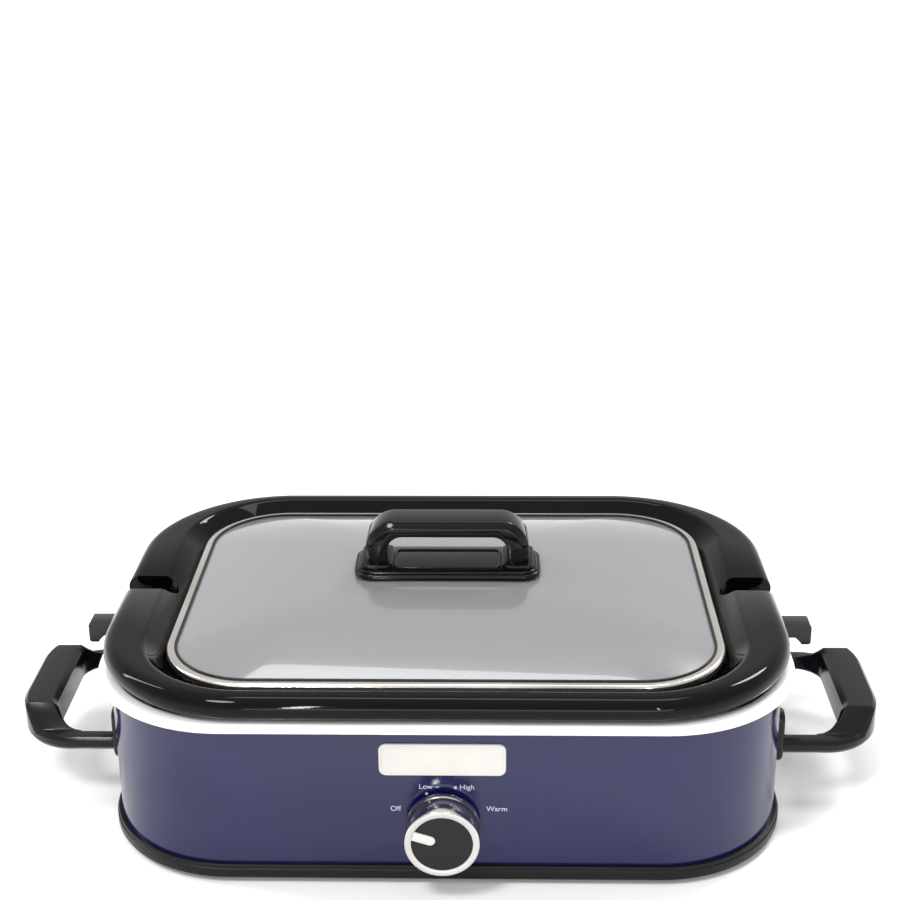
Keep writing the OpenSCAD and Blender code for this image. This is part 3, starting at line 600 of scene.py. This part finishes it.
def handle_loop():
    """Both arms and the grip, with a crease where the raised grip starts to slope down to an arm."""
    reach = HANDLE_HIGH.x
    half = HANDLE_HIGH.y
    foot = half - ARM_WIDTH
    outer_x, outer_y = reach - OUTER_BEND, half - OUTER_BEND
    inner_x, inner_y = reach - GRIP_WIDTH - INNER_BEND, foot - INNER_BEND
    rings = [grip_ring((x, foot), (x, half)) for x in (SIDE, SIDE + 9, SIDE + 18, inner_x)]
    end = math.degrees(math.asin((foot - outer_y) / OUTER_BEND))
    for x, y in arc((outer_x, outer_y), OUTER_BEND, 90, end, 8)[:-1]:
        rings.append(grip_ring((inner_x, foot), (x, y)))
    for y in (foot, foot - 0.3, foot - 1, foot - 2.2, foot - 3.8, foot - 5.8, GRIP_FLAT, 34, 30.5,
              inner_y, 23, outer_y, 10):
        inner = inner_x + math.sqrt(INNER_BEND ** 2 - max(0, y - inner_y) ** 2)
        outer = outer_x + math.sqrt(OUTER_BEND ** 2 - max(0, y - outer_y) ** 2)
        rings.append(grip_ring((inner, y), (outer, y)))
    other = [[(x, -y, z) for x, y, z in ring] for ring in rings[::-1]]
    return loft(rings + other)


def handle_pads():
    """Two upright pads with round ends, screwed to the shell."""
    low, high = 28, 62
    width = 14
    thick = 6.5
    pad = slab(rectangle(width, high - low, width / 2 - 0.1, steps=10), 0, thick)
    arm_y = HANDLE_HIGH.y - ARM_WIDTH / 2
    upright = Matrix.Rotation(math.radians(90), 4, "Z") @ Matrix.Rotation(math.radians(90), 4, "X")
    return [turned(pad, Matrix.Translation((SIDE, y, (low + high) / 2)) @ upright) for y in (-arm_y, arm_y)]


def side_handles():
    loop, pads = handle_loop(), handle_pads()
    for side, flip in SIDES:
        make(f"{side}_grip_loop", flip(loop), handle_plastic, "base",
             [f"{side}_handle"], bevel=0.6, segments=3, limit=24, crease=40)
        make(f"{side}_grip_pads", flip(together(*pads)), handle_plastic, "base",
             bevel=3, segments=5, limit=40, crease=40)


def strap_hooks():
    """Each hook is a bar with a tip turned down, on a pad under the rim."""
    low, high = HOOK_LOW.z, HOOK_HIGH.z
    bar = high - 8
    reach = HOOK_HIGH.x
    tip = reach - 6
    pad = SIDE + 6
    section = rounded(
        [(SIDE, low), (pad, low), (pad, bar - 5), (pad + 4, bar), (tip - 3.5, bar), (tip, bar - 3.5),
         (tip, high - 12.5), (reach, high - 12.5), (reach, high), (SIDE, high)],
        [0, 1.2, 2, 1.2, 1.2, 1.2, 0.8, 1.6, 1.4, 0], 4)
    width = HOOK_HIGH.y - HOOK_LOW.y
    hook = turned(slab(section, -width / 2, width / 2), UPRIGHT)
    for side, flip in SIDES:
        make(f"{side}_strap_catch", flip(hook), hook_plastic, "base",
             [f"{side}_strap_hook"], bevel=1, segments=3, limit=50, crease=40)


# ---- Front panel: name plate, dial words and knob ----

def name_plate():
    """Blank enamelled plate: a raised border round a slightly lower field."""
    width = PLATE_HIGH.x - PLATE_LOW.x
    height = PLATE_HIGH.z - PLATE_LOW.z
    thick = PLATE_HIGH.y - PLATE_LOW.y
    steps = [(0, 0), (0, thick - 0.35), (0.35, thick), (1.1, thick), (1.45, thick - 0.3), (3, thick - 0.35)]
    rings = []
    for inset, level in steps:
        outline = rectangle(width - 2 * inset, height - 2 * inset, max(4 - inset, 0.6), steps=8)
        rings.append([(x, y, level) for x, y in outline])
    middle = (PLATE_LOW.z + PLATE_HIGH.z) / 2 - KNOB_Z
    place = TO_PANEL @ Matrix.Translation((0, middle, 0))
    make("plate_blank", turned(loft(rings), place), cream, "base", ["name_plate"], crease=35)


def panel_word(text, x, z, size=4.4):
    """One printed word of the dial, as thin raised ink."""
    curve = bpy.data.curves.new(f"dial_{text}", "FONT")
    curve.body = text
    curve.size = size * MM
    curve.align_x = "CENTER"
    curve.align_y = "CENTER"
    curve.extrude = 0.04 * MM
    drawn = bpy.data.objects.new(f"dial_{text}_curve", curve)
    bpy.context.scene.collection.objects.link(drawn)
    bpy.context.view_layer.update()
    mesh = bpy.data.meshes.new_from_object(drawn.evaluated_get(bpy.context.evaluated_depsgraph_get()))
    bpy.data.objects.remove(drawn)
    mesh.transform(Matrix.Translation(Vector((x, -FRONT, KNOB_Z + z)) * MM) @ UPRIGHT)
    mesh.materials.clear()
    mesh.materials.append(ink)
    word = place_mesh(f"dial_{text}", mesh)
    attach(word, "base")


def dial_print():
    for text, x, z in (("Off", -25.9, 8.7), ("Low", -9.2, 22.8), ("High", 13.3, 22.5), ("Warm", 29.6, 8.8)):
        panel_word(text, x, z)
    dot = slab(arc((0, 0), 0.8, 0, 345, 23), 0, 0.05)
    dots = [turned(dot, TO_PANEL @ Matrix.Translation((x, z, 0))) for x, z in ((-8.8, 18.4), (7, 22.4))]
    make("dial_dots", together(*dots), ink, "base")


def knob():
    """Chrome skirt with a satin face ring, a black middle and a raised pointer."""
    outer = (KNOB_HIGH.x - KNOB_LOW.x) / 2
    face = -FRONT - KNOB_LOW.y
    back = -FRONT - KNOB_HIGH.y
    wall = 3.8
    inner = outer - wall
    groove = outer - 0.25
    skirt = [(inner, back), (outer - 0.5, back), (outer, back + 0.5), (outer, back + 4)]
    skirt += [(groove, back + 4.3), (groove, back + 4.9), (outer, back + 5.2)]
    skirt += [(outer, face - 1)]
    skirt += arc((outer - 1, face - 1), 1, 15, 60, 4)
    make("knob_skirt", turned(lathe(skirt), TO_PANEL), chrome, "knob", ["knob_ring"],
         crease=40)
    face_ring = arc((outer - 1, face - 1), 1, 60, 90, 3)
    face_ring += [(inner + 0.3, face), (inner + 0.05, face - 0.2), (inner, face - 1)]
    make("knob_face_ring", turned(lathe(face_ring), TO_PANEL), satin_chrome, "knob", crease=40)
    middle = -FRONT - CORE_LOW.y
    core = [(12, back + 3.5), (12, back), (inner - 0.05, back), (inner - 0.05, middle - 0.3)]
    core += [(inner - 0.4, middle), (10, middle - 0.15), (0, middle - 0.2)]
    make("knob_face", turned(lathe(core), TO_PANEL), knob_black, "knob", ["knob_core"],
         crease=40)
    width = 5.4
    start = 4
    bar = [(inner - 0.1, -width / 2), (inner - 0.1, width / 2)]
    bar += arc((start + width / 2, 0), width / 2, 90, 270, 14)
    turn = Matrix.Rotation(math.radians(OFF_ANGLE), 4, "Z")
    pointer = turned(slab(bar, middle - 0.6, face - 0.02), TO_PANEL @ turn)
    make("knob_index", pointer, cream, "knob", ["knob_pointer"],
         bevel=0.25, segments=2, limit=50)


# ---- Crock ----

def crock_profile():
    """From the middle of the underside, round the lip and down to the middle of the cooking space."""
    low, top = CROCK_LOW.z, CROCK_HIGH.z
    lip = 7.5
    lean = 0.3
    wall = 9
    seat = WELL_HIGH.z
    mouth = (FLANGE_CENTRE[0], CROCK_HIGH.y - 33 - MOUTH_R)
    mouth_z = top - SHOULDER_DROP
    crest = MOUTH_R + SHOULDER_RUN
    neck = MOUTH_R + wall
    foot = neck - lean * (seat - low - 14)
    outside = [(0, low), (foot - 26, low)]
    outside += [(foot - 24.6, low + 1.2), (foot - 20, low + 1.2), (foot - 18.6, low)]
    outside += arc((foot - 14, low + 14), 14, -90, -17, 10)
    outside += [(neck - lean * (seat - z), z) for z in (low + 25, low + 40, low + 55, seat - 5)]
    outside = [(r, z, mouth) for r, z in outside]
    outside += [(neck + 1.2, seat - 1.6, mouth), (neck + 3.5, seat, mouth)]
    lip_out = [(FLANGE_R - lip, seat, FLANGE_CENTRE)]
    lip_out += [(r, z, FLANGE_CENTRE) for r, z in arc((FLANGE_R - lip, seat + lip), lip, -75, 75, 14)]
    lip_out += [(FLANGE_R - lip, top, FLANGE_CENTRE), (FLANGE_R - lip - 3, top, FLANGE_CENTRE)]
    slope = math.degrees(math.atan(SHOULDER_DROP / SHOULDER_RUN))
    crest_bend = 5
    reach = crest_bend * math.tan(math.radians(slope / 2))
    shoulder = arc((crest + reach, top - crest_bend), crest_bend, 90, 90 + slope, 5)
    shoulder += [(MOUTH_R + 14, mouth_z + 12), (MOUTH_R + 7, mouth_z + 6)]
    bend = 4
    start = (MOUTH_R + bend, mouth_z + bend * SHOULDER_DROP / SHOULDER_RUN)
    shoulder += rounded([start, (MOUTH_R, mouth_z), (MOUTH_R - lean * bend, mouth_z - bend)],
                        [0, bend, 0], 5, closed=False)
    floor = low + 10
    foot_in = MOUTH_R - lean * (mouth_z - floor - 12)
    inside = [(MOUTH_R - lean * (mouth_z - z), z) for z in (mouth_z - 12, mouth_z - 24, mouth_z - 36)]
    inside += arc((foot_in - 12, floor + 12), 12, -17, -90, 9)
    inside += [(0, floor)]
    return outside + lip_out + [(r, z, mouth) for r, z in shoulder + inside]


def crock():
    """Glazed body, with a notch cut through each end of its flange."""
    body = sweep(crock_profile(), FLANGE_CENTRE, places=stations(26, 1))
    piece = make("stoneware_crock", body, glaze, "crock", ["crock"], crease=60)
    radius = 9
    end = CROCK_HIGH.x - 14.5 - radius
    outline = arc((end, 0), radius, 90, 270, 20) + [(CROCK_HIGH.x + 5, -radius), (CROCK_HIGH.x + 5, radius)]
    cutter_part = slab(outline, WELL_HIGH.z - 5, CROCK_HIGH.z + 5)
    cutter_mesh = solid_mesh("notch_cutter", together(cutter_part, mirrored(cutter_part)))
    cutter = place_mesh("notch_cutter", cutter_mesh)
    cut = piece.modifiers.new("notches", "BOOLEAN")
    cut.operation = "DIFFERENCE"
    cut.object = cutter
    cut.solver = "EXACT"
    apply_modifiers(piece)
    bpy.data.objects.remove(cutter)
    soften(piece, 1.1, 3, 38)
    smooth(piece, 60)


# ---- Lid ----

def lid():
    """Steel band, black seal with a wedge that sits on the crock's shoulder, a black bead along the lip as
    painted shade for the groove between glass and band, and the glass.
    """
    top = BAND_HIGH.z
    low = BAND_LOW.z
    centre = LID_CENTRE
    places = stations(22, 10)
    sheet = 0.6
    neck = LID_R - 4.2
    band = rounded(
        [(neck, low), (LID_R, low), (LID_R, top), (LID_R - 5, top), (LID_R - 5, top - sheet),
         (LID_R - sheet, top - sheet), (LID_R - sheet, low + sheet), (neck, low + sheet)],
        [0, 1.1, 2.2, 0.25, 0.25, 1.6, 0.6, 0], 6)
    make("rim_band", sweep(band, centre, closed=True, places=places), stainless, "lid",
         ["lid_rim"], crease=60)
    inner, wedge = LID_R - 7, LID_R - 0.7
    under, pad = GASKET_LOW.z, GASKET_HIGH.z
    wedge_z = under + (wedge - inner) * SHOULDER_DROP / SHOULDER_RUN
    seal = rounded(
        [(inner, under), (wedge, wedge_z), (wedge - 0.2, low - 0.05), (neck, low - 0.05),
         (neck, low + 0.65), (LID_R - 0.8, low + 0.65), (LID_R - 0.8, pad), (inner, pad)],
        [0.8, 0.3, 0, 0, 0, 0, 0, 0.6], 4)
    lip = LID_R - 5.6
    # Painted shade: a black bead along the lip, under the steel, stands for the shaded groove between the
    # glass and the band
    bead = arc((lip, top + 0.1), 0.8, 0, 330, 11)
    rings = together(*(sweep(line, centre, closed=True, places=places) for line in (seal, bead)))
    make("rim_seal_and_groove_shade", rings, silicone, "lid", ["lid_gasket"], crease=60)
    make("dome_glass", lid_dome(lip, LID_R - 0.9, top - 0.7), lid_glass, "lid", ["lid_glass"],
         crease=60)


def lid_dome(lip, rim, edge_z):
    """Domed pane: flat under the steel lip from rim to lip, then rising to the middle."""
    thick = 4
    rise = GLASS_HIGH.z - edge_z
    power = 3.0
    inside, outside = ([(sx * LID_CENTRE[0] + r * ux, sy * LID_CENTRE[1] + r * uy)
                        for sx, sy, ux, uy in stations(22, 14)] for r in (lip, rim))

    def over(share):
        return edge_z + rise * (1 - share ** power)

    def beneath(share):
        return over(share) - thick

    rings = [1, 0.99, 0.97, 0.945, 0.91, 0.87, 0.82, 0.76, 0.69, 0.61, 0.52, 0.42, 0.31, 0.2, 0.1]
    upper = dome(inside, rings, over)
    lower = dome(inside, rings, beneath)
    edge = [(x, y, z) for z in (edge_z, edge_z - thick) for x, y in outside]
    points, faces = together(upper, lower, (edge, []))
    count = len(inside)
    low = len(upper[0])
    rim_top = 2 * low
    rim_low = rim_top + count
    for i in range(count):
        j = (i + 1) % count
        for a, b in ((0, rim_top), (low, rim_low), (rim_top, rim_low)):
            faces.append((a + i, a + j, b + j, b + i))
    return points, faces


def lid_handle():
    """Stepped base plate with two collars and a low lip, and the arched bar that stands on it."""
    width = GRIP_BASE_HIGH.x - GRIP_BASE_LOW.x
    depth = GRIP_BASE_HIGH.y - GRIP_BASE_LOW.y
    low = GRIP_BASE_LOW.z
    foot = ARCH_LOW.z
    plate = slab(rectangle(width, depth, 12, steps=10), low, foot - 1.4)
    step = slab(rectangle(width - 4, depth - 4, 10.5, steps=10), foot - 1.8, foot)
    make("lid_grip_plate", together(plate, step), gloss_black, "lid",
         ["lid_handle_base"], bevel=0.9, segments=3, limit=40, crease=40)
    arch_w = ARCH_HIGH.x - ARCH_LOW.x
    arch_d = ARCH_HIGH.y - ARCH_LOW.y
    leg = 13
    collar_x = arch_w / 2 - leg / 2
    collars = [slab(rectangle(leg + 6, arch_d + 6, 4, (x, 0), 6), foot - 0.5, foot + 2.6)
               for x in (-collar_x, collar_x)]
    lip = ring_slab(rectangle(2 * collar_x - leg - 8, arch_d + 2, 3, steps=5), 1.2, foot - 0.5, foot + 0.9)
    make("lid_grip_collars", together(*collars, lip), gloss_black, "lid",
         bevel=0.6, segments=3, limit=40, crease=40)
    make("lid_grip_arch", arch_part(arch_w, arch_d, leg), gloss_black, "lid",
         ["lid_handle_grip"], bevel=0.9, segments=3, limit=24, crease=40)


def ring_slab(outline, wall, low, high):
    """A thin upright wall along an outline."""
    centre = sum((Vector(p) for p in outline), Vector((0, 0))) / len(outline)
    half_x = max(p[0] for p in outline) - centre.x
    half_y = max(p[1] for p in outline) - centre.y
    shrink_x = 1 - wall / half_x
    shrink_y = 1 - wall / half_y
    inside = [((x - centre.x) * shrink_x + centre.x, (y - centre.y) * shrink_y + centre.y)
              for x, y in outline]
    count = len(outline)
    points = [(x, y, z) for line, z in ((outline, low), (outline, high), (inside, high), (inside, low))
              for x, y in line]
    faces = []
    for row in range(4):
        for i in range(count):
            j = (i + 1) % count
            after = (row + 1) % 4
            faces.append((row * count + i, row * count + j, after * count + j, after * count + i))
    return points, faces


def arch_part(width, depth, leg):
    """Arched bar, standing along X, with a broad flat chamfer on both of its outer edges."""
    foot, top = ARCH_LOW.z, ARCH_HIGH.z
    bar = 9.4
    chamfer = 3.6
    bend_out = 18
    bend_in = 9

    def outline(inset):
        half = width / 2 - inset
        crest = top - inset
        bend = bend_out - inset
        outer = rounded([(half, foot), (half, crest), (-half, crest), (-half, foot)], [0, bend, bend, 0], 10)
        gap = width / 2 - leg
        vault = top - bar
        inner = rounded([(-gap, foot), (-gap, vault), (gap, vault), (gap, foot)],
                        [0, bend_in, bend_in, 0], 8)
        return outer + inner

    face = depth / 2
    steps = ((chamfer, -face), (0, chamfer - face), (0, face - chamfer), (chamfer, face))
    return turned(loft([[(x, z, y) for x, z in outline(inset)] for inset, y in steps]), UPRIGHT)


# ---- Studio ----

def floor():
    """A plain pale floor that runs out to the horizon."""
    edge = 40000
    cells = 8
    points = [(edge * (2 * i / cells - 1), edge * (2 * j / cells - 1), 0)
              for i in range(cells + 1) for j in range(cells + 1)]
    row = cells + 1
    faces = [(i * row + j, (i + 1) * row + j, (i + 1) * row + j + 1, i * row + j + 1)
             for i in range(cells) for j in range(cells)]
    mesh = plain_mesh("studio_floor", (points, faces))
    mesh.materials.append(surface("pale_floor", rgb(240, 240, 240), rgb(244, 244, 244), (0.75, 0.85),
                                  blotch=0.6, grain=60.0, grain_height=0.0, specular=0.1))
    place_mesh("studio_floor", mesh)


def aim(lamp_name, lamp, place, target):
    light = bpy.data.objects.new(lamp_name, lamp)
    light.location = place
    light.rotation_euler = (Vector(target) - Vector(place)).to_track_quat("-Z", "Y").to_euler()
    bpy.context.scene.collection.objects.link(light)


def softbox(name, place, width, height, power):
    lamp = bpy.data.lights.new(name, "AREA")
    lamp.shape = "RECTANGLE"
    lamp.size = width
    lamp.size_y = height
    lamp.energy = power
    aim(name, lamp, place, (0, 0, 0.1))


def far_lamp(name, place, strength, width):
    """A large lamp far away, as seen from the object: width is its apparent size in degrees."""
    lamp = bpy.data.lights.new(name, "SUN")
    lamp.energy = strength
    lamp.angle = math.radians(width)
    aim(name, lamp, place, (0, 0, 0))


def sky():
    """White studio walls: bright at the floor's edge, greyer above it, bright again overhead."""
    world = bpy.data.worlds.new("studio")
    world.use_nodes = True
    tree = world.node_tree
    place = tree.nodes.new("ShaderNodeTexCoord").outputs["Generated"]
    split = tree.nodes.new("ShaderNodeSeparateXYZ")
    tree.links.new(place, split.inputs["Vector"])
    ramp = tree.nodes.new("ShaderNodeValToRGB")
    tones = ((0.0, 1.15), (0.22, 0.9), (0.6, 0.72), (1.0, 1.0))
    while len(ramp.color_ramp.elements) < len(tones):
        ramp.color_ramp.elements.new(0.5)
    for stop, (height, tone) in zip(ramp.color_ramp.elements, tones):
        stop.position = height
        stop.color = (tone, tone, tone * 1.01, 1)
    tree.links.new(split.outputs["Z"], ramp.inputs["Fac"])
    tree.links.new(ramp.outputs["Color"], tree.nodes["Background"].inputs["Color"])
    bpy.context.scene.world = world


def studio():
    floor()
    sky()
    far_lamp("front_lamp", (-0.4, -0.5, 1.1), 1.35, 14)
    far_lamp("back_lamp", (0.5, 0.6, 0.75), 1.2, 14)
    softbox("left_box", (-1.3, 0.2, 0.9), 0.12, 1.0, 6)
    softbox("top_box", (0.1, 0.3, 1.9), 1.2, 0.4, 8)
    softbox("front_left_strip", (-0.29, -1.6, 0.75), 0.035, 0.5, 4)
    softbox("front_right_strip", (0.5, -1.6, 0.75), 0.03, 0.4, 2)
    softbox("front_fill", (0.2, -1.7, 0.3), 1.2, 0.3, 5)
    bpy.context.scene.view_settings.view_transform = "Standard"


def camera():
    """The photograph's viewpoint: a long lens a little to the right, looking down 21 degrees."""
    yaw, pitch, roll = (math.radians(a) for a in (-1.56, 21.18, -0.52))
    ahead = Vector((math.sin(yaw) * math.cos(pitch), math.cos(yaw) * math.cos(pitch), -math.sin(pitch)))
    level = Vector((math.cos(yaw), -math.sin(yaw), 0))
    above = level.cross(ahead)
    right = level * math.cos(roll) + above * math.sin(roll)
    up = above * math.cos(roll) - level * math.sin(roll)
    data = bpy.data.cameras.new("camera")
    data.sensor_width = 36
    data.lens = 65.39
    data.clip_end = 200
    place = (0.0265, -0.9005, 0.5541)
    eye = bpy.data.objects.new("camera", data)
    turn = Matrix((right, up, -ahead)).transposed().to_4x4()
    eye.matrix_world = Matrix.Translation(place) @ turn
    bpy.context.scene.collection.objects.link(eye)
    bpy.context.scene.camera = eye


camera()
heating_well()
outer_shell()
bottom_ring()
side_handles()
strap_hooks()
name_plate()
dial_print()
knob()
crock()
lid()
lid_handle()
studio()
